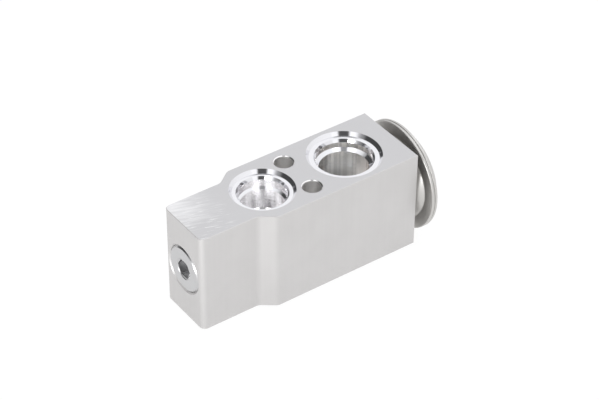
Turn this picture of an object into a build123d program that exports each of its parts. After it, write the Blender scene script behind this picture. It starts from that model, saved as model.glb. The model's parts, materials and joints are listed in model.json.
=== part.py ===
from build123d import *
from math import radians, sin, sqrt, tan
import os

os.makedirs("parts", exist_ok=True)

# Block-type thermostatic expansion valve, in millimetres.
# The origin lies midway between the two mounting holes, on the port face. +Z points out of the port face,
# and +X runs along the valve axis from the adjusting screw to the power head.

# Block, an extruded bar cut across: its outline runs along Z
screw_end_length = 43.2
head_end_length = 36.8
block_depth = 36.0
block_width = 28.0
neck_width = 20.5
neck_length = 20.9
shoulder_run = 5.0
shoulder_fillet = 3.0
neck_corner_fillet = 2.0
port_face_chamfer = 0.2

# Two through holes for the bolts that clamp the pipe flange
mounting_hole_spacing = 15.3
mounting_hole_radius = 3.1
mounting_hole_chamfer = 0.3

# Places of the ports along X: the liquid side from the screw's end, the suction side from the head's end
inlet_from_screw_end = 17.0
outlet_from_screw_end = 29.75
suction_from_head_end = 18.7

# Suction passage: one straight bore with the same socket on both faces
suction_bore_radius = 8.1
suction_pocket_step = 1.2
suction_ledge_width = 1.5
suction_pocket_depth = 1.85

# Liquid ports: a bore, then a smaller drilled hole that reaches the valve axis
outlet_bore_radius = 7.05
outlet_bore_depth = 12.8
outlet_hole_radius = 4.0
outlet_hole_overrun = 3.0
inlet_bore_radius = 5.1
inlet_bore_depth = 9.0
inlet_hole_radius = 3.0
liquid_pocket_step = 0.85
liquid_ledge_width = 1.2
liquid_pocket_depth = 2.6

# Sizes that all port sockets share
port_rim_width = 1.0
port_rim_depth = 1.25
lead_in_width = 0.5
lead_in_depth = 1.05
bore_chamfer_slope = 0.75

# Bores along the valve axis
drill_half_angle = 59.0
screw_hole_radius = 8.0
screw_hole_depth = 8.0
screw_mouth_chamfer = 0.5
chamber_radius = 7.0
orifice_wall = 1.55
orifice_passage_radius = 2.0
seat_recess = 0.25
rod_hole_depth = 8.2
vent_radius = 4.6
neck_end_gap = 0.6
thread_mouth_chamfer = 0.5

# Orifice seat and ball
seat_ring_radius = 3.0
seat_ring_length = 3.0
orifice_radius = 1.6
seat_chamfer = 0.7
ball_radius = 2.5
seat_clearance = 0.05
valve_lift = 0.8

# Ball carrier
cup_half_angle = 60.0
cup_mouth_radius = 2.7
cup_radius = 3.5
cup_length = 1.95
carrier_flange_radius = 5.4
carrier_flange_thickness = 1.2
carrier_spigot_radius = 2.3
carrier_spigot_length = 2.5
carrier_spigot_chamfer = 0.4

# Damper with three sprung arms that rub on the chamber wall
damper_thickness = 0.3
damper_plate_radius = 4.9
damper_arm_length = 3.2
damper_arm_angle = 24.0
damper_arm_count = 3
damper_bend_radius = 0.4

# Superheat spring
spring_coil_radius = 3.55
spring_wire_radius = 0.65
spring_pitch = 1.8

# Adjusting screw
screw_travel = 1.0
screw_thread_end_gap = 0.2
screw_edge_chamfer = 0.6
screw_seal_lead = 0.6
screw_seal_section = 1.7
screw_seal_groove_width = 2.1
screw_end_land = 0.8
screw_recess_radius = 4.5
screw_floor_thickness = 0.8
hex_across_flats = 6.0
hex_depth = 3.6
hex_pilot_radius = 2.7
hex_countersink = 0.2

# Push pin, its seal and the sensing rod
pin_radius = 1.2
pin_tip_radius = 0.9
pin_tip_taper = 0.6
pin_socket_depth = 2.0
rod_radius = 3.0
rod_edge_chamfer = 0.3
seal_washer_thickness = 0.6
retainer_thickness = 0.3
retainer_dish = 0.5
retainer_eye = 0.45
retainer_slot_count = 6
retainer_slot_width = 0.5
retainer_slot_depth = 0.7
rod_end_gap = 0.3
sleeve_thickness = 0.8
sleeve_end_gap = 0.3
sleeve_top_gap = 0.5

# Power head
head_gap = 0.9
head_rim_radius = 18.85
head_rim_fillet = 0.25
head_rim_back_fillet = 0.4
housing_sheet = 1.0
bowl_depth = 2.25
bowl_side_angle = 42.0
bowl_edge_fillet = 0.6
flange_share = 0.47
flange_root_fillet = 0.7
neck_radius = 10.0
neck_wall = 1.5
neck_thread_length = 8.8
neck_tip_chamfer = 0.6
head_seal_section = 2.0
head_seal_recess = 1.2
head_seal_side_gap = 0.15

# Inside the head
diaphragm_thickness = 0.15
diaphragm_edge_inset = 0.3
diaphragm_wave_margin = 0.1
diaphragm_wave_length = 1.8
diaphragm_wave_height = 0.4
diaphragm_wave_count = 2
stop_gap = 0.2
stop_plate_inset = 0.2
stop_plate_chamfer = 0.3
stop_hub_wall = 1.4
stop_hub_length = 2.6
stop_socket_depth = 2.3
cap_sheet = 0.9
cap_flange_width = 1.9
cap_wall_run = 1.7
cap_height = 2.7
cap_foot_fillet = 0.4
cap_corner_fillet = 2.0
cap_crown_fillet = 1.2
cap_crown = 0.5
cap_crown_radius = 6.0
charge_hole_radius = 1.2
plug_head_radius = 2.3
plug_head_height = 0.9
plug_length = 1.6
plug_head_fillet = 0.7

# Clearances
thread_clearance = 0.05
running_clearance = 0.05
seal_clearance = 0.03
press_gap = 0.01
contact_gap = 0.02

# Places that follow from the sizes
axis_z = -block_depth / 2
screw_face_x = -screw_end_length
head_face_x = head_end_length
inlet_x = screw_face_x + inlet_from_screw_end
outlet_x = screw_face_x + outlet_from_screw_end
suction_x = head_face_x - suction_from_head_end
drill_slope = tan(radians(drill_half_angle))

valve_axis = Axis((0, 0, axis_z), (1, 0, 0))
valve_plane = Plane(origin=(0, 0, axis_z), x_dir=(1, 0, 0), z_dir=(0, -1, 0))


def cross_plane(x):
    """Plane across the valve axis, facing the power head."""
    return Plane(origin=(x, 0, axis_z), x_dir=(0, 1, 0), z_dir=(1, 0, 0))


def turned(points, radii=None):
    """Half-section to be turned about the valve axis: each point is a place along X and a radius."""
    with BuildSketch(valve_plane) as section:
        with BuildLine():
            if radii is None:
                Polyline(*points, close=True)
            else:
                FilletPolyline(*points, radius=radii, close=True)
        make_face()
    return section.sketch


def socket_wall(bore_radius, pocket_step, ledge_width, pocket_depth):
    """Radii and depths of a pipe socket, from the rim of the port down to the mouth of its bore."""
    pocket_radius = bore_radius + pocket_step
    ledge_inner = pocket_radius + lead_in_width
    ledge_outer = ledge_inner + ledge_width
    pocket_top = port_rim_depth + lead_in_depth
    pocket_bottom = pocket_top + pocket_depth
    return [
        (ledge_outer + port_rim_width, 0),
        (ledge_outer, port_rim_depth),
        (ledge_inner, port_rim_depth),
        (pocket_radius, pocket_top),
        (pocket_radius, pocket_bottom),
        (bore_radius, pocket_bottom + pocket_step * bore_chamfer_slope),
    ]


def port_section(x, wall, face_z, inward):
    """Half-section of a port parallel to Z: wall lists radii and depths, from the face to the port's axis."""
    places = [(x + radius, face_z + inward * depth) for radius, depth in wall]
    with BuildSketch(Plane.XZ) as section:
        with BuildLine():
            Polyline((x, face_z), *places, close=True)
        make_face()
    return section.sketch


def liquid_wall(bore_radius, bore_depth, hole_radius, hole_end):
    """A pipe socket, its bore, the drill point, and the smaller hole with a drill point of its own."""
    socket = socket_wall(bore_radius, liquid_pocket_step, liquid_ledge_width, liquid_pocket_depth)
    hole_start = bore_depth + (bore_radius - hole_radius) / drill_slope
    return socket + [
        (bore_radius, bore_depth),
        (hole_radius, hole_start),
        (hole_radius, hole_end),
        (0, hole_end + hole_radius / drill_slope),
    ]


# Bores of the valve axis, each placed from the port or face that it serves
orifice_pocket_end_x = outlet_x - outlet_hole_radius - orifice_wall
seat_face_x = orifice_pocket_end_x - seat_ring_length
orifice_pocket_start_x = seat_face_x - seat_recess
chamber_end_x = orifice_pocket_start_x - (chamber_radius - seat_ring_radius) / drill_slope
screw_hole_end_x = screw_face_x + screw_hole_depth
screw_taper_x = screw_hole_end_x - (screw_hole_radius - chamber_radius)
pin_hole_radius = pin_radius + running_clearance
rod_hole_radius = rod_radius + running_clearance
rod_hole_bottom_x = suction_x - suction_bore_radius - rod_hole_depth
head_bore_radius = neck_radius + thread_clearance
bowl_back_x = head_face_x + head_gap
neck_end_x = bowl_back_x - neck_thread_length
head_bore_bottom_x = neck_end_x - neck_end_gap
head_seal_recess_x = head_face_x - head_seal_recess
head_seal_pocket_radius = neck_radius + head_seal_section + 2 * head_seal_side_gap

with BuildPart() as valve_body:
    with BuildSketch():
        with BuildLine() as half_outline:
            FilletPolyline(
                (screw_face_x, 0),
                (screw_face_x, neck_width / 2),
                (screw_face_x + neck_length, neck_width / 2),
                (screw_face_x + neck_length + shoulder_run, block_width / 2),
                (head_face_x, block_width / 2),
                (head_face_x, 0),
                radius=[neck_corner_fillet, shoulder_fillet, shoulder_fillet, 0],
            )
            mirror(about=Plane.XZ)
        make_face()
    extrude(amount=-block_depth)
    chamfer(valve_body.faces().filter_by(Axis.Z).edges(), port_face_chamfer)

    # Mounting holes, with a small chamfer at each face
    with Locations((0, -mounting_hole_spacing / 2, 0), (0, mounting_hole_spacing / 2, 0)):
        Hole(mounting_hole_radius, depth=block_depth)
    hole_rims = (
        valve_body.edges()
        .filter_by(GeomType.CIRCLE)
        .filter_by(lambda edge: abs(edge.radius - mounting_hole_radius) < 0.001)
    )
    chamfer(hole_rims, mounting_hole_chamfer)

    # Suction passage, through the block from face to face
    suction_socket = socket_wall(
        suction_bore_radius, suction_pocket_step, suction_ledge_width, suction_pocket_depth
    )
    far_socket = [(radius, block_depth - depth) for radius, depth in reversed(suction_socket)]
    revolve(
        port_section(suction_x, suction_socket + far_socket + [(0, block_depth)], 0, -1),
        axis=Axis((suction_x, 0, 0), (0, 0, 1)),
        mode=Mode.SUBTRACT,
    )

    # Liquid outlet on the port face and liquid inlet on the back face
    outlet_wall = liquid_wall(
        outlet_bore_radius, outlet_bore_depth, outlet_hole_radius, block_depth / 2 + outlet_hole_overrun
    )
    revolve(
        port_section(outlet_x, outlet_wall, 0, -1),
        axis=Axis((outlet_x, 0, 0), (0, 0, 1)),
        mode=Mode.SUBTRACT,
    )
    inlet_wall = liquid_wall(inlet_bore_radius, inlet_bore_depth, inlet_hole_radius, block_depth / 2)
    revolve(
        port_section(inlet_x, inlet_wall, -block_depth, 1),
        axis=Axis((inlet_x, 0, 0), (0, 0, 1)),
        mode=Mode.SUBTRACT,
    )

    # Valve axis: screw thread, chamber, seat pocket and orifice passage, from the screw's end
    revolve(
        turned(
            [
                (screw_face_x, 0),
                (screw_face_x, screw_hole_radius + screw_mouth_chamfer),
                (screw_face_x + screw_mouth_chamfer, screw_hole_radius),
                (screw_taper_x, screw_hole_radius),
                (screw_hole_end_x, chamber_radius),
                (chamber_end_x, chamber_radius),
                (orifice_pocket_start_x, seat_ring_radius),
                (orifice_pocket_end_x, seat_ring_radius),
                (orifice_pocket_end_x, orifice_passage_radius),
                (outlet_x, orifice_passage_radius),
                (outlet_x, 0),
            ]
        ),
        axis=valve_axis,
        mode=Mode.SUBTRACT,
    )

    # Valve axis: pin hole, rod hole, vent and thread for the power head, up to the head's end
    revolve(
        turned(
            [
                (outlet_x, 0),
                (outlet_x, pin_hole_radius),
                (rod_hole_bottom_x, pin_hole_radius),
                (rod_hole_bottom_x, rod_hole_radius),
                (suction_x, rod_hole_radius),
                (suction_x, vent_radius),
                (head_bore_bottom_x, vent_radius),
                (head_bore_bottom_x, head_bore_radius),
                (head_seal_recess_x - thread_mouth_chamfer, head_bore_radius),
                (head_seal_recess_x, head_bore_radius + thread_mouth_chamfer),
                (head_seal_recess_x, head_seal_pocket_radius),
                (head_face_x, head_seal_pocket_radius),
                (head_face_x, 0),
            ]
        ),
        axis=valve_axis,
        mode=Mode.SUBTRACT,
    )
valve_body.part.label = "valve_body"
export_step(valve_body.part, "parts/valve_body.step")

with BuildPart() as orifice_seat:
    ring_outer = seat_ring_radius - press_gap
    revolve(
        turned(
            [
                (seat_face_x, orifice_radius + seat_chamfer),
                (seat_face_x, ring_outer),
                (orifice_pocket_end_x - press_gap, ring_outer),
                (orifice_pocket_end_x - press_gap, orifice_radius),
                (seat_face_x + seat_chamfer, orifice_radius),
            ]
        ),
        axis=valve_axis,
    )
orifice_seat.part.label = "orifice_seat"
export_step(orifice_seat.part, "parts/orifice_seat.step")

# The ball closes on the 45 degree chamfer of the seat
ball_x = seat_face_x + seat_chamfer + orifice_radius - (ball_radius + seat_clearance) * sqrt(2)

with BuildPart() as valve_ball:
    with Locations((ball_x, 0, axis_z)):
        Sphere(ball_radius)
valve_ball.part.label = "valve_ball"
export_step(valve_ball.part, "parts/valve_ball.step")

# The carrier holds the ball in a conical cup
cup_apex_x = ball_x - (ball_radius + contact_gap) / sin(radians(cup_half_angle))
cup_mouth_x = cup_apex_x + cup_mouth_radius / tan(radians(cup_half_angle))
flange_front_x = cup_mouth_x - cup_length
flange_back_x = flange_front_x - carrier_flange_thickness
spigot_tip_x = flange_back_x - carrier_spigot_length

with BuildPart() as ball_carrier:
    revolve(
        turned(
            [
                (cup_apex_x, 0),
                (cup_mouth_x, cup_mouth_radius),
                (cup_mouth_x, cup_radius),
                (flange_front_x, cup_radius),
                (flange_front_x, carrier_flange_radius),
                (flange_back_x, carrier_flange_radius),
                (flange_back_x, carrier_spigot_radius),
                (spigot_tip_x + carrier_spigot_chamfer, carrier_spigot_radius),
                (spigot_tip_x, carrier_spigot_radius - carrier_spigot_chamfer),
                (spigot_tip_x, 0),
            ]
        ),
        axis=valve_axis,
    )
ball_carrier.part.label = "ball_carrier"
export_step(ball_carrier.part, "parts/ball_carrier.step")

# The damper's plate is clamped between the spring and the carrier, and its arms bend forward along the wall
damper_back_x = flange_back_x - damper_thickness
arm_outer = chamber_radius - running_clearance
arm_inner = arm_outer - damper_thickness
arm_tip_x = damper_back_x + damper_arm_length

with BuildPart() as vibration_damper:
    with BuildSketch(cross_plane(damper_back_x)):
        Circle(damper_plate_radius)
        Circle(carrier_spigot_radius + running_clearance, mode=Mode.SUBTRACT)
    extrude(amount=damper_thickness)
    for number in range(damper_arm_count):
        arm = turned(
            [
                (damper_back_x, damper_plate_radius - damper_thickness),
                (damper_back_x, arm_outer),
                (arm_tip_x, arm_outer),
                (arm_tip_x, arm_inner),
                (flange_back_x, arm_inner),
                (flange_back_x, damper_plate_radius - damper_thickness),
            ],
            [0, damper_bend_radius + damper_thickness, 0, 0, damper_bend_radius, 0],
        )
        turn = number * 360 / damper_arm_count - damper_arm_angle / 2
        revolve(arm.rotate(valve_axis, turn), axis=valve_axis, revolution_arc=damper_arm_angle)
vibration_damper.part.label = "vibration_damper"
export_step(vibration_damper.part, "parts/vibration_damper.step")

# The spring stands between the floor of the screw's recess and the damper's plate, with ground ends
hex_floor_x = screw_face_x + hex_depth
hex_cone_tip_x = hex_floor_x + hex_pilot_radius / drill_slope
spring_start_x = hex_cone_tip_x + screw_floor_thickness
spring_length = damper_back_x - spring_start_x

with BuildPart() as superheat_spring:
    with BuildLine() as coil:
        Helix(
            pitch=spring_pitch,
            height=spring_length,
            radius=spring_coil_radius,
            center=(spring_start_x, 0, axis_z),
            direction=(1, 0, 0),
        )
    with BuildSketch(Plane(coil.line @ 0, z_dir=coil.line % 0)):
        Circle(spring_wire_radius)
    sweep(path=coil.line, is_frenet=True)
    split(bisect_by=cross_plane(spring_start_x), keep=Keep.TOP)
    split(bisect_by=cross_plane(damper_back_x), keep=Keep.BOTTOM)
superheat_spring.part.label = "superheat_spring"
export_step(superheat_spring.part, "parts/superheat_spring.step")

# The adjusting screw is flush with the block, and seals in the chamber's bore behind its thread.
# Its thread stops short of the end of the tapped hole by the travel that it has inwards.
thread_radius = screw_hole_radius - thread_clearance
thread_end_x = screw_taper_x - screw_travel - screw_thread_end_gap
seal_land_radius = chamber_radius - running_clearance
groove_start_x = screw_hole_end_x + screw_seal_lead
groove_end_x = groove_start_x + screw_seal_groove_width
groove_radius = chamber_radius - screw_seal_section
screw_end_x = groove_end_x + screw_end_land
hex_corner_radius = hex_across_flats / sqrt(3)

with BuildPart() as adjusting_screw:
    revolve(
        turned(
            [
                (screw_face_x, 0),
                (screw_face_x, thread_radius - screw_edge_chamfer),
                (screw_face_x + screw_edge_chamfer, thread_radius),
                (thread_end_x - screw_edge_chamfer, thread_radius),
                (thread_end_x, thread_radius - screw_edge_chamfer),
                (thread_end_x, seal_land_radius),
                (groove_start_x, seal_land_radius),
                (groove_start_x, groove_radius),
                (groove_end_x, groove_radius),
                (groove_end_x, seal_land_radius),
                (screw_end_x - screw_edge_chamfer, seal_land_radius),
                (screw_end_x, seal_land_radius - screw_edge_chamfer),
                (screw_end_x, screw_recess_radius),
                (spring_start_x, screw_recess_radius),
                (spring_start_x, 0),
            ]
        ),
        axis=valve_axis,
    )
    with BuildSketch(cross_plane(screw_face_x)):
        RegularPolygon(radius=hex_corner_radius, side_count=6)
    extrude(amount=hex_depth, mode=Mode.SUBTRACT)
    revolve(
        turned(
            [
                (screw_face_x, 0),
                (screw_face_x, hex_corner_radius + hex_countersink),
                (screw_face_x + hex_countersink, hex_corner_radius),
                (screw_face_x + hex_countersink, hex_pilot_radius),
                (hex_floor_x, hex_pilot_radius),
                (hex_cone_tip_x, 0),
            ]
        ),
        axis=valve_axis,
        mode=Mode.SUBTRACT,
    )
adjusting_screw.part.label = "adjusting_screw"
export_step(adjusting_screw.part, "parts/adjusting_screw.step")


def ring_at(x, ring_radius, section_radius):
    """A round ring about the valve axis, as a sketch of its section to be turned."""
    with BuildSketch(valve_plane) as section:
        with Locations((x, ring_radius)):
            Circle(section_radius)
    return section.sketch


with BuildPart() as adjusting_screw_o_ring:
    revolve(
        ring_at(
            (groove_start_x + groove_end_x) / 2,
            (groove_radius + chamber_radius) / 2,
            screw_seal_section / 2 - seal_clearance,
        ),
        axis=valve_axis,
    )
adjusting_screw_o_ring.part.label = "adjusting_screw_o_ring"
export_step(adjusting_screw_o_ring.part, "parts/adjusting_screw_o_ring.step")

# The pin's seal lies at the bottom of the rod hole, under a washer and a push-in retainer
pin_seal_radius = (rod_hole_radius - pin_radius) / 2 - seal_clearance
pin_seal_x = rod_hole_bottom_x + seal_clearance + pin_seal_radius
washer_x = pin_seal_x + pin_seal_radius + seal_clearance
retainer_x = washer_x + seal_washer_thickness
retainer_top_x = retainer_x + retainer_dish + retainer_thickness
rod_end_x = retainer_top_x + valve_lift + rod_end_gap

with BuildPart() as pin_o_ring:
    revolve(
        ring_at(pin_seal_x, (rod_hole_radius + pin_radius) / 2, pin_seal_radius), axis=valve_axis
    )
pin_o_ring.part.label = "pin_o_ring"
export_step(pin_o_ring.part, "parts/pin_o_ring.step")

with BuildPart() as seal_washer:
    with BuildSketch(cross_plane(washer_x)):
        Circle(rod_hole_radius - press_gap)
        Circle(pin_radius + running_clearance, mode=Mode.SUBTRACT)
    extrude(amount=seal_washer_thickness)
seal_washer.part.label = "seal_washer"
export_step(seal_washer.part, "parts/seal_washer.step")

with BuildPart() as seal_retainer:
    retainer_outer = rod_hole_radius - press_gap
    revolve(
        turned(
            [
                (retainer_x, retainer_outer),
                (retainer_x + retainer_thickness, retainer_outer),
                (retainer_top_x, pin_radius + retainer_eye),
                (retainer_top_x - retainer_thickness, pin_radius + retainer_eye),
            ]
        ),
        axis=valve_axis,
    )
    with BuildSketch(cross_plane(retainer_x)):
        with PolarLocations(retainer_outer, retainer_slot_count):
            Rectangle(2 * retainer_slot_depth, retainer_slot_width)
    extrude(amount=retainer_dish + retainer_thickness, mode=Mode.SUBTRACT)
seal_retainer.part.label = "seal_retainer"
export_step(seal_retainer.part, "parts/seal_retainer.step")

# The pin reaches from the ball, through the orifice and the wall, into a socket in the rod's end
pin_tip_x = ball_x + ball_radius + contact_gap
pin_top_x = rod_end_x + pin_socket_depth - contact_gap

with BuildPart() as push_pin:
    revolve(
        turned(
            [
                (pin_tip_x, 0),
                (pin_tip_x, pin_tip_radius),
                (outlet_x - pin_tip_taper, pin_tip_radius),
                (outlet_x, pin_radius),
                (pin_top_x, pin_radius),
                (pin_top_x, 0),
            ]
        ),
        axis=valve_axis,
    )
push_pin.part.label = "push_pin"
export_step(push_pin.part, "parts/push_pin.step")

# Planes of the power head: the diaphragm is clamped between the flanges of the housing and the cap
flange_width = (head_rim_radius - neck_radius) * flange_share
bowl_radius = head_rim_radius - flange_width
bowl_flat_radius = bowl_radius - bowl_depth / tan(radians(bowl_side_angle))
sheet_mitre = housing_sheet * tan(radians(bowl_side_angle / 2))
bowl_floor_x = bowl_back_x + housing_sheet
rim_back_x = bowl_back_x + bowl_depth
diaphragm_x = rim_back_x + housing_sheet
cap_x = diaphragm_x + diaphragm_thickness
wave_end_radius = bowl_radius - sheet_mitre - diaphragm_wave_margin
wave_start_radius = wave_end_radius - diaphragm_wave_count * diaphragm_wave_length
stop_plate_radius = wave_start_radius - stop_plate_inset
stop_plate_x = bowl_floor_x + valve_lift + stop_gap
stop_hub_end_x = stop_plate_x - stop_hub_length
rod_top_x = stop_hub_end_x + stop_socket_depth - contact_gap

with BuildPart() as sensing_rod:
    revolve(
        turned(
            [
                (rod_end_x + pin_socket_depth, 0),
                (rod_end_x + pin_socket_depth, pin_radius + press_gap),
                (rod_end_x, pin_radius + press_gap),
                (rod_end_x, rod_radius - rod_edge_chamfer),
                (rod_end_x + rod_edge_chamfer, rod_radius),
                (rod_top_x - rod_edge_chamfer, rod_radius),
                (rod_top_x, rod_radius - rod_edge_chamfer),
                (rod_top_x, 0),
            ]
        ),
        axis=valve_axis,
    )
sensing_rod.part.label = "sensing_rod"
export_step(sensing_rod.part, "parts/sensing_rod.step")

# The sleeve slows the rod's heat exchange. It stays clear of the curved wall over the whole lift.
sleeve_radius = rod_radius + sleeve_thickness
wall_sag = sqrt(suction_bore_radius**2 - sleeve_radius**2)
sleeve_start_x = suction_x - wall_sag + valve_lift + sleeve_end_gap
sleeve_end_x = suction_x + suction_bore_radius - sleeve_top_gap

with BuildPart() as rod_sleeve:
    with BuildSketch(cross_plane(sleeve_start_x)):
        Circle(sleeve_radius)
        Circle(rod_radius + press_gap, mode=Mode.SUBTRACT)
    extrude(amount=sleeve_end_x - sleeve_start_x)
rod_sleeve.part.label = "rod_sleeve"
export_step(rod_sleeve.part, "parts/rod_sleeve.step")

with BuildPart() as diaphragm_stop_plate:
    revolve(
        turned(
            [
                (stop_hub_end_x, rod_radius + press_gap),
                (stop_hub_end_x, rod_radius + stop_hub_wall),
                (stop_plate_x, rod_radius + stop_hub_wall),
                (stop_plate_x, stop_plate_radius - stop_plate_chamfer),
                (stop_plate_x + stop_plate_chamfer, stop_plate_radius),
                (diaphragm_x - stop_plate_chamfer, stop_plate_radius),
                (diaphragm_x, stop_plate_radius - stop_plate_chamfer),
                (diaphragm_x, 0),
                (stop_hub_end_x + stop_socket_depth, 0),
                (stop_hub_end_x + stop_socket_depth, rod_radius + press_gap),
            ]
        ),
        axis=valve_axis,
    )
diaphragm_stop_plate.part.label = "diaphragm_stop_plate"
export_step(diaphragm_stop_plate.part, "parts/diaphragm_stop_plate.step")

# The lower housing is drawn from one sheet: threaded neck, shallow bowl with a sloping side, flat flange
with BuildPart() as head_lower_housing:
    neck_bore = neck_radius - neck_wall
    revolve(
        turned(
            [
                (neck_end_x, neck_bore),
                (neck_end_x, neck_radius - neck_tip_chamfer),
                (neck_end_x + neck_tip_chamfer, neck_radius),
                (bowl_back_x, neck_radius),
                (bowl_back_x, bowl_flat_radius),
                (rim_back_x, bowl_radius),
                (rim_back_x, head_rim_radius),
                (diaphragm_x, head_rim_radius),
                (diaphragm_x, bowl_radius - sheet_mitre),
                (bowl_floor_x, bowl_flat_radius - sheet_mitre),
                (bowl_floor_x, neck_bore),
            ],
            [
                0,
                0,
                0,
                0,
                bowl_edge_fillet,
                flange_root_fillet,
                head_rim_back_fillet,
                head_rim_fillet,
                0,
                0,
                0,
            ],
        ),
        axis=valve_axis,
    )
head_lower_housing.part.label = "head_lower_housing"
export_step(head_lower_housing.part, "parts/head_lower_housing.step")

with BuildPart() as head_seal_ring:
    revolve(
        ring_at(
            (head_seal_recess_x + bowl_back_x) / 2,
            neck_radius + head_seal_side_gap + head_seal_section / 2,
            head_seal_section / 2,
        ),
        axis=valve_axis,
    )
head_seal_ring.part.label = "head_seal_ring"
export_step(head_seal_ring.part, "parts/head_seal_ring.step")

# The diaphragm is a thin disc with round waves between its centre and its clamped edge
with BuildPart() as diaphragm:
    with BuildSketch(valve_plane):
        with BuildLine():
            top_x = diaphragm_x + diaphragm_thickness
            edge_radius = head_rim_radius - diaphragm_edge_inset
            Polyline(
                (top_x, wave_start_radius),
                (top_x, 0),
                (diaphragm_x, 0),
                (diaphragm_x, wave_start_radius),
            )
            Polyline(
                (diaphragm_x, wave_end_radius),
                (diaphragm_x, edge_radius),
                (top_x, edge_radius),
                (top_x, wave_end_radius),
            )
            for side_x in (diaphragm_x, top_x):
                for number in range(diaphragm_wave_count):
                    start = wave_start_radius + number * diaphragm_wave_length
                    swing = diaphragm_wave_height * (-1) ** number
                    ThreePointArc(
                        (side_x, start),
                        (side_x + swing, start + diaphragm_wave_length / 2),
                        (side_x, start + diaphragm_wave_length),
                    )
        make_face()
    revolve(axis=valve_axis)
diaphragm.part.label = "diaphragm"
export_step(diaphragm.part, "parts/diaphragm.step")

# The cap is a low drawn cover with a slightly crowned top and a hole for the charge in its centre
cap_rim_x = cap_x + cap_sheet
cap_foot = head_rim_radius - cap_flange_width
cap_shoulder = cap_foot - cap_wall_run
cap_shoulder_x = cap_rim_x + cap_height
cap_crown_x = cap_shoulder_x + cap_crown

with BuildPart() as head_upper_cap:
    revolve(
        turned(
            [
                (cap_x, cap_foot - cap_sheet),
                (cap_x, head_rim_radius),
                (cap_rim_x, head_rim_radius),
                (cap_rim_x, cap_foot),
                (cap_shoulder_x, cap_shoulder),
                (cap_crown_x, cap_crown_radius),
                (cap_crown_x, charge_hole_radius),
                (cap_crown_x - cap_sheet, charge_hole_radius),
                (cap_crown_x - cap_sheet, cap_crown_radius),
                (cap_shoulder_x - cap_sheet, cap_shoulder - cap_sheet),
            ],
            [
                0,
                head_rim_fillet,
                head_rim_fillet,
                cap_foot_fillet,
                cap_corner_fillet,
                cap_crown_fillet,
                0,
                0,
                0,
                0,
            ],
        ),
        axis=valve_axis,
    )
head_upper_cap.part.label = "head_upper_cap"
export_step(head_upper_cap.part, "parts/head_upper_cap.step")

with BuildPart() as charge_plug:
    plug_top_x = cap_crown_x + plug_head_height
    revolve(
        turned(
            [
                (plug_top_x - plug_head_height - plug_length, 0),
                (plug_top_x - plug_head_height - plug_length, charge_hole_radius - press_gap),
                (cap_crown_x, charge_hole_radius - press_gap),
                (cap_crown_x, plug_head_radius),
                (plug_top_x, plug_head_radius),
                (plug_top_x, 0),
            ],
            [0, 0, 0, 0, plug_head_fillet, 0],
        ),
        axis=valve_axis,
    )
charge_plug.part.label = "charge_plug"
export_step(charge_plug.part, "parts/charge_plug.step")
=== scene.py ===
import bmesh
import bpy
import json
from math import cos, radians, sin
from types import SimpleNamespace
from mathutils import Matrix, Vector


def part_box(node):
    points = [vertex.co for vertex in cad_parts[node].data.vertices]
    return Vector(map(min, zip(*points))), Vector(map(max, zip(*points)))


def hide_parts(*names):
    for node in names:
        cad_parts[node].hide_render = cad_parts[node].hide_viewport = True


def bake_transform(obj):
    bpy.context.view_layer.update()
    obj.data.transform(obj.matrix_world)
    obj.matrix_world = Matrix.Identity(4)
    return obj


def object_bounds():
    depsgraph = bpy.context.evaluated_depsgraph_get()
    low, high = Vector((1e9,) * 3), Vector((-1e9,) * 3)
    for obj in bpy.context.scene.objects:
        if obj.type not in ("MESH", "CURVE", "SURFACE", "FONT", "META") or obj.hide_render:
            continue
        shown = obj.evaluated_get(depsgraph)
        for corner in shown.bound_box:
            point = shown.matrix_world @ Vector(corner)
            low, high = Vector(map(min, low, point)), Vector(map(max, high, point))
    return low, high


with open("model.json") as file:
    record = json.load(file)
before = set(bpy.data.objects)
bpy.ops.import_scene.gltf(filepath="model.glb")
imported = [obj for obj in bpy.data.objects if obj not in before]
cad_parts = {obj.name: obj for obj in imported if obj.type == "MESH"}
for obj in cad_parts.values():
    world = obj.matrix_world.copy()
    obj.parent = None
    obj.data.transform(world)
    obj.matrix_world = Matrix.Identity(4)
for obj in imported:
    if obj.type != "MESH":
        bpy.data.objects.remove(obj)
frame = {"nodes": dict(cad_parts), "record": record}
cad_low, cad_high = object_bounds()
nodes = frame["nodes"]
mounts = {mount["name"]: mount for mount in frame["record"]["mounts"]}
scene = bpy.context.scene

MM = 0.001

# The Mix node's sockets when it mixes colours. Its sockets for numbers have the same names
MIX_SHARE = 0
MIX_FIRST = 6
MIX_SECOND = 7
MIX_RESULT = 2

# Widths that the frame doesn't hold, in millimetres. A socket's goes from the bore of its mount to the rim
suction_socket_width = 3.0
liquid_socket_width = 3.55
mounting_hole_chamfer = 0.3

# A finish gives way to the next between these two distances past its edge, in millimetres
edge_start = 0.02
edge_end = 0.05

# Colours of the block. Where there are two, a noise varies the finish from one to the other
satin_colours = (0.64, 0.63, 0.625, 1), (0.69, 0.68, 0.675, 1)
satin_line_colour = (0.6, 0.59, 0.59, 1)
faced_colours = (0.583, 0.581, 0.588, 1), (0.627, 0.624, 0.631, 1)
worn_colour = (0.83, 0.83, 0.835, 1)
scratch_colour = (0.95, 0.95, 0.95, 1)
turned_colours = (0.80, 0.80, 0.82, 1), (0.86, 0.86, 0.88, 1)
# Painted light: near white deep in the ports, so the bottom of each hollow looks lit
deep_turned_painted_light_colour = (0.96, 0.96, 0.965, 1)
# Bores: the metal's colour with painted reflections as light and dark streaks down the walls, and a light
# shade raised as painted light so the hollows look lit
through_bore_metal_and_reflection_colours = (0.78, 0.765, 0.755, 1), (1.0, 0.985, 0.975, 1)
blind_bore_metal_and_reflection_colours = (0.90, 0.89, 0.895, 1), (1.0, 0.995, 1.0, 1)
# Painted light: the mounting holes are coloured near white, so their hollows look lit
mounting_hole_painted_light_colours = (0.98, 0.975, 0.97, 1), (1.0, 0.995, 0.99, 1)

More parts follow.
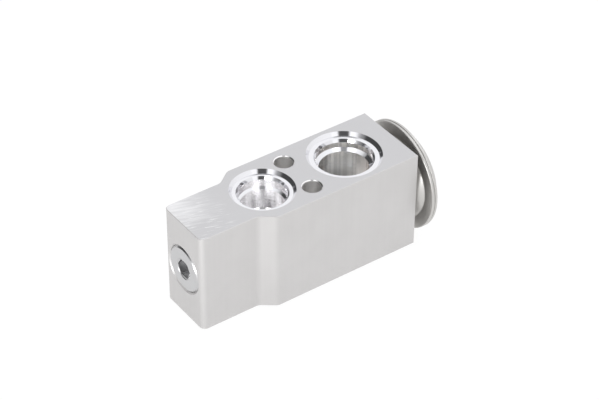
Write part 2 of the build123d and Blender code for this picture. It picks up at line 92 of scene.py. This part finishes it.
# Metal of the parts round the valve axis, by slot: name, darker and lighter colour, least roughness
metal_finishes = {
    "screw_aluminium": ("screw_finish", (0.56, 0.56, 0.565, 1), (0.61, 0.61, 0.615, 1), 0.26),
    "rod_aluminium": ("rod_finish", (0.62, 0.62, 0.63, 1), (0.68, 0.68, 0.69, 1), 0.28),
    "head_steel": ("head_steel_finish", (0.58, 0.57, 0.55, 1), (0.64, 0.63, 0.61, 1), 0.36),
    "plug_steel": ("plug_steel_finish", (0.48, 0.47, 0.45, 1), (0.56, 0.55, 0.53, 1), 0.25),
    "diaphragm_steel": ("diaphragm_finish", (0.58, 0.58, 0.57, 1), (0.64, 0.64, 0.63, 1), 0.16),
    "pin_steel": ("pin_steel_finish", (0.60, 0.60, 0.61, 1), (0.66, 0.66, 0.67, 1), 0.10),
    "spring_steel": ("spring_steel_finish", (0.42, 0.42, 0.42, 1), (0.52, 0.52, 0.51, 1), 0.26),
    "carrier_brass": ("brass_finish", (0.72, 0.52, 0.22, 1), (0.80, 0.61, 0.30, 1), 0.18),
}

# Azimuth of the tent's two slots, close to the camera's own
slot_azimuth = -34

white = (1, 1, 1, 1)


def port(mount_name, socket_width):
    """A pipe port's place along the valve axis, and the radius of its rim."""
    mount = mounts[mount_name]
    return SimpleNamespace(x=mount["pos_m"][0] / MM, rim_radius=mount["dims"]["r_mm"] + socket_width)


# Places on the block, in millimetres
suction = port("suction_port_front", suction_socket_width)
outlet = port("liquid_outlet_port", liquid_socket_width)
inlet = port("liquid_inlet_port", liquid_socket_width)
mounting_hole_y = mounts["mounting_holes"]["dims"]["spacing_y_mm"] / 2
mounting_hole_rim_radius = mounts["mounting_holes"]["dims"]["hole_r_mm"] + mounting_hole_chamfer
screw_face_x = cad_low.x / MM
back_face_z = mounts["back_face"]["pos_m"][2] / MM
axis_z = back_face_z / 2
half_depth = -axis_z


class Tree:
    """Adds nodes to a material or a world. An input is given a value, or another node's output."""

    def __init__(self, tree):
        self.tree = tree
        tree.nodes.clear()

    def node(self, kind, inputs=None, **settings):
        made = self.tree.nodes.new(kind)
        for name, value in settings.items():
            setattr(made, name, value)
        for key, value in (inputs or {}).items():
            if isinstance(value, bpy.types.NodeSocket):
                self.tree.links.new(value, made.inputs[key])
            else:
                made.inputs[key].default_value = value
        return made

    def math(self, operation, *values):
        return self.node("ShaderNodeMath", dict(enumerate(values)), operation=operation).outputs[0]

    def product(self, first, second):
        return self.math("MULTIPLY", first, second)

    def rest(self, share):
        """What the share leaves of 1."""
        return self.math("SUBTRACT", 1.0, share)

    def spread(self, noise, least, span):
        """The noise, from 0 to 1, spread over a span above the least value."""
        return self.math("MULTIPLY_ADD", noise, span, least)

    def vector(self, operation, *values):
        made = self.node("ShaderNodeVectorMath", dict(enumerate(values)), operation=operation)
        return made.outputs["Value" if operation in ("LENGTH", "DOT_PRODUCT") else "Vector"]

    def parts(self, vector):
        return self.node("ShaderNodeSeparateXYZ", {0: vector}).outputs

    def joined(self, x, y, z):
        return self.node("ShaderNodeCombineXYZ", {0: x, 1: y, 2: z}).outputs[0]

    def noise(self, vector, scale, detail, roughness=0.5):
        inputs = {"Vector": vector, "Scale": scale, "Detail": detail, "Roughness": roughness}
        return self.node("ShaderNodeTexNoise", inputs).outputs["Fac"]

    def streaks(self, vector, scales, detail, roughness=0.5):
        """Noise with its own scale along each axis, drawn out along the one with the smallest."""
        return self.noise(self.vector("MULTIPLY", vector, scales), 1.0, detail, roughness)

    def step(self, value, low, high, start=0.0, end=1.0):
        """Goes smoothly from start to end while the value rises from low to high."""
        inputs = {"Value": value, "From Min": low, "From Max": high, "To Min": start, "To Max": end}
        return self.node("ShaderNodeMapRange", inputs, interpolation_type="SMOOTHSTEP").outputs["Result"]

    def fall(self, value, low, high):
        return self.step(value, low, high, 1.0, 0.0)

    def mix(self, share, first, second):
        inputs = {"Factor": share, "A": first, "B": second}
        return self.node("ShaderNodeMix", inputs, data_type="FLOAT").outputs["Result"]

    def mix_colour(self, share, first, second):
        inputs = {MIX_SHARE: share, MIX_FIRST: first, MIX_SECOND: second}
        return self.node("ShaderNodeMix", inputs, data_type="RGBA").outputs[MIX_RESULT]

    def mix_shader(self, share, first, second):
        return self.node("ShaderNodeMixShader", {0: share, 1: first.outputs[0], 2: second.outputs[0]})

    def bump(self, height, depth, strength):
        """Surface normal of a relief. The depth is in millimetres."""
        inputs = {"Height": height, "Distance": depth * MM, "Strength": strength}
        return self.node("ShaderNodeBump", inputs).outputs["Normal"]

    def object_place(self):
        """Place on the object in millimetres, and its own surface normal."""
        coordinates = self.node("ShaderNodeTexCoord")
        place = self.vector("MULTIPLY", coordinates.outputs["Object"], (1 / MM,) * 3)
        return place, coordinates.outputs["Normal"]

    def surface(self, colour, roughness, normal, settings):
        """The material's shader and output. The settings are values of the shader's other sockets."""
        inputs = {"Base Color": colour, "Roughness": roughness, "Normal": normal, **settings}
        shader = self.node("ShaderNodeBsdfPrincipled", inputs)
        self.node("ShaderNodeOutputMaterial", {"Surface": shader.outputs[0]})


def new_material(name):
    material = bpy.data.materials.new(name)
    material.use_nodes = True
    return material, Tree(material.node_tree)


def new_object(name, data):
    made = bpy.data.objects.new(name, data)
    scene.collection.objects.link(made)
    return made


def inside_ring(tree, along, across, centre, radius):
    """1 within the radius round an axis that crosses the plane of the two coordinates, and 0 outside it."""
    shifted = tree.math("SUBTRACT", along, centre)
    distance = tree.vector("LENGTH", tree.joined(shifted, across, 0.0))
    return tree.fall(distance, radius + edge_start, radius + edge_end)


def block_zones(tree, place, normal):
    """The kinds of surface on the block, each as a share from 0, elsewhere, to 1, where it applies."""
    # Limits on the normal's parts, between which a zone rises or falls
    upright_limits = 0.1, 0.3
    across_z_limits = 0.9, 0.95
    end_face_limits = 0.96, 0.99
    head_face_limits = 0.95, 0.98
    end_chamfer_limits = -0.3, -0.4

    x, y, z = tree.parts(place)
    normal_x, _, normal_z = tree.parts(normal)
    zones = SimpleNamespace()

    # Ports and mounting holes: inside their rims, and below the face that they open in
    below_face = tree.fall(z, -edge_end, -edge_start)
    above_back = tree.step(z, back_face_z + edge_start, back_face_z + edge_end)
    inside = tree.product(below_face, above_back)
    in_port = 0.0
    for opening in (suction, outlet, inlet):
        in_this_port = inside_ring(tree, x, y, opening.x, opening.rim_radius)
        in_port = tree.math("MAXIMUM", in_port, in_this_port)
    zones.turned = tree.product(in_port, inside)
    in_hole = inside_ring(tree, tree.math("ABSOLUTE", y), x, mounting_hole_y, mounting_hole_rim_radius)
    zones.drilled = tree.product(in_hole, inside)

    # Their walls, and what lies deep in a port, by its depth below the nearest face
    deep_start = 5.5
    deep_end = 6.5
    upright = tree.fall(tree.math("ABSOLUTE", normal_z), *upright_limits)
    zones.hole_wall = tree.product(zones.drilled, upright)
    zones.bored = tree.product(zones.turned, upright)
    zones.suction_side = tree.step(x, outlet.x + outlet.rim_radius, suction.x - suction.rim_radius)
    zones.blind_bore = tree.product(zones.bored, tree.rest(zones.suction_side))
    from_middle = tree.math("ABSOLUTE", tree.math("SUBTRACT", z, axis_z))
    deep = tree.fall(from_middle, half_depth - deep_end, half_depth - deep_start)
    zones.deep_turned = tree.product(zones.turned, deep)

    # Flat faces, and the chamfers over the screw's face and under the head's
    across_z = tree.step(tree.math("ABSOLUTE", normal_z), *across_z_limits)
    zones.port_face = tree.product(across_z, tree.rest(tree.math("MAXIMUM", zones.turned, zones.drilled)))
    zones.end_face = tree.step(tree.math("ABSOLUTE", normal_x), *end_face_limits)
    zones.head_face = tree.step(normal_x, *head_face_limits)
    zones.end_chamfers = tree.step(tree.product(normal_x, normal_z), *end_chamfer_limits)

    # The neck's part of the port face, and the corner of the block that is coloured lighter, towards the
    # screw's face and the back
    neck_fade_start = screw_face_x + 5.0
    neck_fade_end = screw_face_x + 20.0
    wear_end = screw_face_x + 24.0
    wear_side_start = -10.0
    wear_side_end = 8.0
    zones.neck = tree.product(zones.port_face, tree.fall(x, neck_fade_start, neck_fade_end))
    near_screw = tree.fall(x, screw_face_x, wear_end)
    zones.handled = tree.product(near_screw, tree.step(y, wear_side_start, wear_side_end))
    return zones


def block_marks(tree, place, zones):
    """Lines, marks and scratches that the block's making and its use have left."""
    marks = SimpleNamespace()

    # Extruded sides: lines along the bar, which runs along Z
    marks.fine_lines = tree.streaks(place, (9.0, 9.0, 0.12), detail=3.0, roughness=0.6)
    marks.broad_lines = tree.streaks(place, (0.9, 0.9, 0.02), detail=2.0)
    marks.clouds = tree.noise(place, scale=0.12, detail=3.0)

    # Machined faces: faint marks along the valve axis. Ports: rings, and streaks down their walls, which
    # are a relief and also painted reflections in the bores' colour
    marks.machined = tree.streaks(place, (0.35, 6.0, 6.0), detail=4.0, roughness=0.65)
    marks.turned_lines = tree.streaks(place, (3.0, 3.0, 14.0), detail=2.0)
    marks.bore_rings = tree.streaks(place, (0.0, 0.0, 6.0), detail=3.0)
    marks.bore_streaks = tree.streaks(place, (0.6, 0.6, 0.0), detail=1.0)

    # The neck's port face: slanting wear, and bright scratches
    slope = radians(18)
    glint_limits = 0.56, 0.68
    turn = tree.node("ShaderNodeVectorRotate", {"Vector": place, "Angle": slope}, rotation_type="Z_AXIS")
    slanting = turn.outputs[0]
    strokes = tree.streaks(slanting, (0.13, 1.0, 0.2), detail=3.0, roughness=0.6)
    glints = tree.streaks(slanting, (0.2, 1.9, 0.2), detail=4.0, roughness=0.6)
    glints = tree.step(glints, *glint_limits)
    worn = tree.math("ADD", zones.handled, tree.spread(strokes, least=-0.95, span=1.6))
    marks.worn = tree.product(tree.math("MAXIMUM", worn, 0.0), zones.neck)
    marks.scratches = tree.product(glints, zones.neck)
    return marks


def block_colour(tree, zones, marks):
    """Each zone's colour over the one before, from the satin sides to the bores, whose brightness and
    streaks are painted light and painted reflections.
    """
    line_share = 0.12
    scratch_share = 0.7
    reflection_streak_limits = 0.38, 0.58

    satin = tree.mix_colour(marks.clouds, *satin_colours)
    satin = tree.mix_colour(tree.product(marks.fine_lines, line_share), satin, satin_line_colour)
    faced = tree.mix_colour(marks.machined, *faced_colours)
    faced = tree.mix_colour(marks.worn, faced, worn_colour)
    faced = tree.mix_colour(tree.product(marks.scratches, scratch_share), faced, scratch_colour)
    turned = tree.mix_colour(marks.turned_lines, *turned_colours)
    # Painted reflections: the share of the light and dark streaks down the bores' walls
    reflection_streak_share = tree.step(marks.bore_streaks, *reflection_streak_limits)
    # Painted light: near-white mounting holes, with rings from a noise
    mounting_hole = tree.mix_colour(marks.bore_rings, *mounting_hole_painted_light_colours)
    # Painted reflections and painted light: the bores' streaked, near-white colour
    blind_bore = tree.mix_colour(reflection_streak_share, *blind_bore_metal_and_reflection_colours)
    through_bore = tree.mix_colour(reflection_streak_share, *through_bore_metal_and_reflection_colours)
    bore = tree.mix_colour(zones.blind_bore, through_bore, blind_bore)

    colour = tree.mix_colour(zones.port_face, satin, faced)
    colour = tree.mix_colour(zones.turned, colour, turned)
    # Painted light: the turned metal deep in a port is coloured near white
    colour = tree.mix_colour(zones.deep_turned, colour, deep_turned_painted_light_colour)
    colour = tree.mix_colour(zones.bored, colour, bore)
    return tree.mix_colour(zones.drilled, colour, mounting_hole)


def block_roughness(tree, zones, marks):
    """Each zone's roughness over the one before."""
    blind_bore = 0.13
    through_bore = 0.12
    side = tree.spread(marks.broad_lines, least=0.42, span=0.14)
    face = tree.spread(marks.machined, least=0.30, span=0.16)
    roughness = tree.mix(zones.port_face, side, face)
    for zone, value in (
        (zones.head_face, 0.65),
        (zones.end_chamfers, 0.85),
        (zones.turned, 0.09),
        (zones.deep_turned, 0.10),
        (zones.bored, tree.mix(zones.suction_side, blind_bore, through_bore)),
        (zones.drilled, 0.12),
        (zones.hole_wall, 0.30),
    ):
        roughness = tree.mix(zone, roughness, value)
    return roughness


def block_relief(tree, zones, marks):
    """Heights of the marks, as multiples of the relief's depth."""
    broad_line_height = 0.5
    scratch_height = 2.0
    turned_line_height = 0.12
    bore_ring_height = 10.0
    bore_streak_height = 8.0

    side = tree.math("ADD", marks.fine_lines, tree.product(marks.broad_lines, broad_line_height))
    face = tree.math("ADD", marks.machined, tree.product(marks.scratches, scratch_height))
    hole_wall = tree.product(marks.bore_rings, bore_ring_height)
    bore_streaks = tree.product(marks.bore_streaks, bore_streak_height)
    bore = tree.math("MULTIPLY_ADD", marks.bore_rings, bore_ring_height, bore_streaks)
    height = tree.mix(zones.port_face, side, face)
    height = tree.mix(zones.end_face, height, marks.machined)
    height = tree.mix(zones.turned, height, tree.product(marks.turned_lines, turned_line_height))
    height = tree.mix(zones.hole_wall, height, hole_wall)
    return tree.mix(zones.bored, height, bore)


def block_material():
    """Extruded, sawn and machined aluminium, with turned ports whose brightness is partly painted light and
    painted reflections.
    """
    material, tree = new_material("block_aluminium_finish")
    place, normal = tree.object_place()
    zones = block_zones(tree, place, normal)
    marks = block_marks(tree, place, zones)
    colour = block_colour(tree, zones, marks)
    roughness = block_roughness(tree, zones, marks)
    relief = tree.bump(block_relief(tree, zones, marks), depth=0.01, strength=0.6)
    tree.surface(colour, roughness, relief, {"Metallic": 1.0})
    return material


def metal_material(name, dark, light, roughness):
    """Metal with fine rings round the valve axis, and a slight change of shade."""
    material, tree = new_material(name)
    place, _ = tree.object_place()
    x, y, z = tree.parts(place)
    radius = tree.vector("LENGTH", tree.joined(0.0, y, tree.math("SUBTRACT", z, axis_z)))
    section = tree.joined(x, radius, 0.0)
    rings = tree.noise(section, scale=6.0, detail=3.0, roughness=0.6)
    clouds = tree.noise(place, scale=0.25, detail=3.0)
    colour = tree.mix_colour(clouds, dark, light)
    rough = tree.spread(rings, least=roughness, span=0.08)
    relief = tree.bump(rings, depth=0.006, strength=0.6)
    tree.surface(colour, rough, relief, {"Metallic": 1.0})
    return material


def rubber_material():
    """Black moulded rubber with a faint bloom."""
    material, tree = new_material("seal_rubber_finish")
    place, _ = tree.object_place()
    bloom = tree.noise(place, scale=1.2, detail=4.0, roughness=0.6)
    grain = tree.noise(place, scale=9.0, detail=2.0)
    colour = tree.mix_colour(bloom, (0.012, 0.012, 0.013, 1), (0.035, 0.035, 0.036, 1))
    rough = tree.spread(bloom, least=0.45, span=0.2)
    relief = tree.bump(grain, depth=0.01, strength=0.5)
    tree.surface(colour, rough, relief, {"Specular IOR Level": 0.4})
    return material


def plastic_material():
    """Natural moulded plastic."""
    material, tree = new_material("sleeve_plastic_finish")
    place, _ = tree.object_place()
    clouds = tree.noise(place, scale=0.6, detail=3.0)
    grain = tree.noise(place, scale=7.0, detail=2.0)
    colour = tree.mix_colour(clouds, (0.74, 0.73, 0.70, 1), (0.80, 0.79, 0.77, 1))
    rough = tree.spread(clouds, least=0.35, span=0.15)
    relief = tree.bump(grain, depth=0.008, strength=0.5)
    tree.surface(colour, rough, relief, {"Subsurface Weight": 0.1})
    return material


def dress_nodes():
    """Gives each node the finish of its slot."""
    finishes = {
        "block_aluminium": block_material(),
        "seal_rubber": rubber_material(),
        "sleeve_plastic": plastic_material(),
    }
    for slot, finish in metal_finishes.items():
        finishes[slot] = metal_material(*finish)
    for part in frame["record"]["subparts"]:
        mesh = nodes[part["node"]].data
        mesh.materials.clear()
        mesh.materials.append(finishes[part["material_slot"]])


def half_mesh(name, source, middle, side):
    """A closed copy of the part of a mesh that lies on one side of its middle along X."""
    weld_distance = 0.0001 * MM

    cut = bmesh.new()
    cut.from_mesh(source)
    bmesh.ops.remove_doubles(cut, verts=cut.verts[:], dist=weld_distance)
    geometry = cut.verts[:] + cut.edges[:] + cut.faces[:]
    bmesh.ops.bisect_plane(cut, geom=geometry, plane_co=middle, plane_no=(side, 0, 0), clear_inner=True)
    bmesh.ops.holes_fill(cut, edges=[edge for edge in cut.edges if edge.is_boundary])
    bmesh.ops.recalc_face_normals(cut, faces=cut.faces[:])
    mesh = bpy.data.meshes.new(name)
    cut.to_mesh(mesh)
    cut.free()
    mesh.materials.append(source.materials[0])
    return mesh


def spring_halves():
    """The spring in two pieces that meet at its middle: one at the valve train's end, the other at the
    screw's.
    """
    low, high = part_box("superheat_spring")
    middle = (low + high) / 2
    end_coil = Vector((1.0 * MM, 0, 0))
    train_end = Vector((high.x, middle.y, middle.z)) - end_coil
    screw_end = Vector((low.x, middle.y, middle.z)) + end_coil
    for name, body, end, side in (
        ("spring_train_end", "valve_train", train_end, 1),
        ("spring_screw_end", "screw_carriage", screw_end, -1),
    ):
        half = new_object(name, half_mesh(name, nodes["superheat_spring"].data, middle, side))
        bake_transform(half)
        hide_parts("superheat_spring")


def direction(azimuth, elevation):
    """Unit vector: azimuth 0 points to the front, along -Y, and 90 along +X."""
    flat = cos(radians(elevation))
    return Vector((sin(radians(azimuth)) * flat, -cos(radians(azimuth)) * flat, sin(radians(elevation))))


def card(tree, level, sight, azimuth, half_width, low, high, strength, soft=4.0):
    """A panel of the light tent: it covers a range of azimuth and of elevation, in degrees."""
    flat = tree.vector("NORMALIZE", tree.vector("MULTIPLY", sight, (1, 1, 0)))
    toward = tree.vector("DOT_PRODUCT", flat, tuple(direction(azimuth, 0)))
    between_sides = tree.step(toward, cos(radians(half_width + soft)), cos(radians(half_width - soft)))
    height = tree.parts(sight)[2]
    above_low = tree.step(height, sin(radians(low - soft)), sin(radians(low + soft)))
    below_high = tree.fall(height, sin(radians(high - soft)), sin(radians(high + soft)))
    share = tree.product(tree.product(between_sides, above_low), below_high)
    return tree.mix(share, level, strength)


def tent_level(tree, sight):
    """Brightness of the tent: even, brighter overhead beside a slot, and with cards round the object."""
    low_strength = 0.99
    high_strength = 1.13
    slot_strength = 0.35
    overhead_strength = 2.2
    slot_half_width = 0.12
    panels_start = 0.19
    overhead_start = sin(radians(58))
    overhead_end = sin(radians(66))

    height = tree.parts(sight)[2]
    level = tree.step(height, 0.0, 1.0, low_strength, high_strength)
    across_slot = tuple(direction(slot_azimuth + 90, 0))
    aside = tree.math("ABSOLUTE", tree.vector("DOT_PRODUCT", sight, across_slot))
    overhead = tree.step(aside, slot_half_width, panels_start, slot_strength, overhead_strength)
    level = tree.mix(tree.step(height, overhead_start, overhead_end), level, overhead)
    for panel in (
        # Brighter strips on both sides of the camera
        dict(azimuth=-68, half_width=12, low=-5, high=75, strength=1.25),
        dict(azimuth=-4, half_width=8, low=-5, high=75, strength=1.2),
        # The slot that the camera looks through
        dict(azimuth=slot_azimuth, half_width=17, low=8, high=54, strength=0.10),
        # The opening at the back left: a dim border, and the dark opening itself
        dict(azimuth=-116, half_width=34, low=-28, high=46, strength=0.30, soft=14.0),
        dict(azimuth=-142, half_width=40, low=-28, high=42, strength=0.07, soft=7.0),
    ):
        level = card(tree, level, sight, **panel)
    return level


def light_tent():
    """A white tent round the object, open at the back left. The camera sees plain white instead."""
    world = bpy.data.worlds.new("light_tent")
    scene.world = world
    world.use_nodes = True
    tree = Tree(world.node_tree)
    level = tent_level(tree, tree.node("ShaderNodeTexCoord").outputs["Generated"])
    rays = tree.node("ShaderNodeLightPath")
    seen = tree.node("ShaderNodeBackground", {"Color": white, "Strength": 1.0})
    tent = tree.node("ShaderNodeBackground", {"Color": (0.985, 0.985, 1.0, 1), "Strength": level})
    mixed = tree.mix_shader(rays.outputs["Is Camera Ray"], tent, seen)
    tree.node("ShaderNodeOutputWorld", {"Surface": mixed.outputs[0]})


def side_lamp():
    """A soft lamp low at the front left. It lightens the rounded corners of the block."""
    aim = Vector((-20, 0, axis_z)) * MM
    toward = direction(-56, 12)
    distance = 0.25
    data = bpy.data.lights.new("side_lamp", "AREA")
    data.shape = "RECTANGLE"
    data.size = 0.10
    data.size_y = 0.08
    data.energy = 0.29
    lamp = new_object("side_lamp", data)
    lamp.location = aim + toward * distance
    lamp.rotation_euler = toward.to_track_quat("Z", "Y").to_euler()


def floor():
    """White sheet under the part. It looks white and keeps a faint shadow."""
    half = 1.5
    seen_share = 0.94
    mirrored_share = 0.7
    glow_strength = 1.02
    paper_colour = (0.9, 0.9, 0.9, 1)

    mesh = bpy.data.meshes.new("floor")
    corners = [(-half, -half, 0), (half, -half, 0), (half, half, 0), (-half, half, 0)]
    mesh.from_pydata(corners, [], [(0, 1, 2, 3)])
    sheet = new_object("floor", mesh)
    sheet.location.z = cad_low.z
    material, tree = new_material("floor_white")
    rays = tree.node("ShaderNodeLightPath")
    mirrored = tree.math("MAXIMUM", rays.outputs["Is Glossy Ray"], rays.outputs["Is Transmission Ray"])
    share = tree.mix(rays.outputs["Is Camera Ray"], tree.product(mirrored, mirrored_share), seen_share)
    paper = tree.node("ShaderNodeBsdfDiffuse", {"Color": paper_colour})
    glow = tree.node("ShaderNodeEmission", {"Color": white, "Strength": glow_strength})
    mixed = tree.mix_shader(share, paper, glow)
    tree.node("ShaderNodeOutputMaterial", {"Surface": mixed.outputs[0]})
    mesh.materials.append(material)


def camera():
    """The photograph's camera: its place in metres, and its right, up and backward directions."""
    place = Vector((-0.2991, -0.4145, 0.3933))
    right = Vector((0.8131, -0.5822, 0.0061)).normalized()
    up = Vector((0.357, 0.5067, 0.7848)).normalized()
    back = right.cross(up)
    data = bpy.data.cameras.new("camera")
    data.lens = 123.93
    data.sensor_width = 36.0
    data.clip_start = 0.01
    eye = new_object("camera", data)
    eye.matrix_world = Matrix.Translation(place) @ Matrix((right, up, back)).transposed().to_4x4()
    scene.camera = eye


dress_nodes()
spring_halves()
light_tent()
side_lamp()
floor()
camera()
scene.view_settings.view_transform = "Standard"
scene.cycles.max_bounces = 16
scene.cycles.glossy_bounces = 14
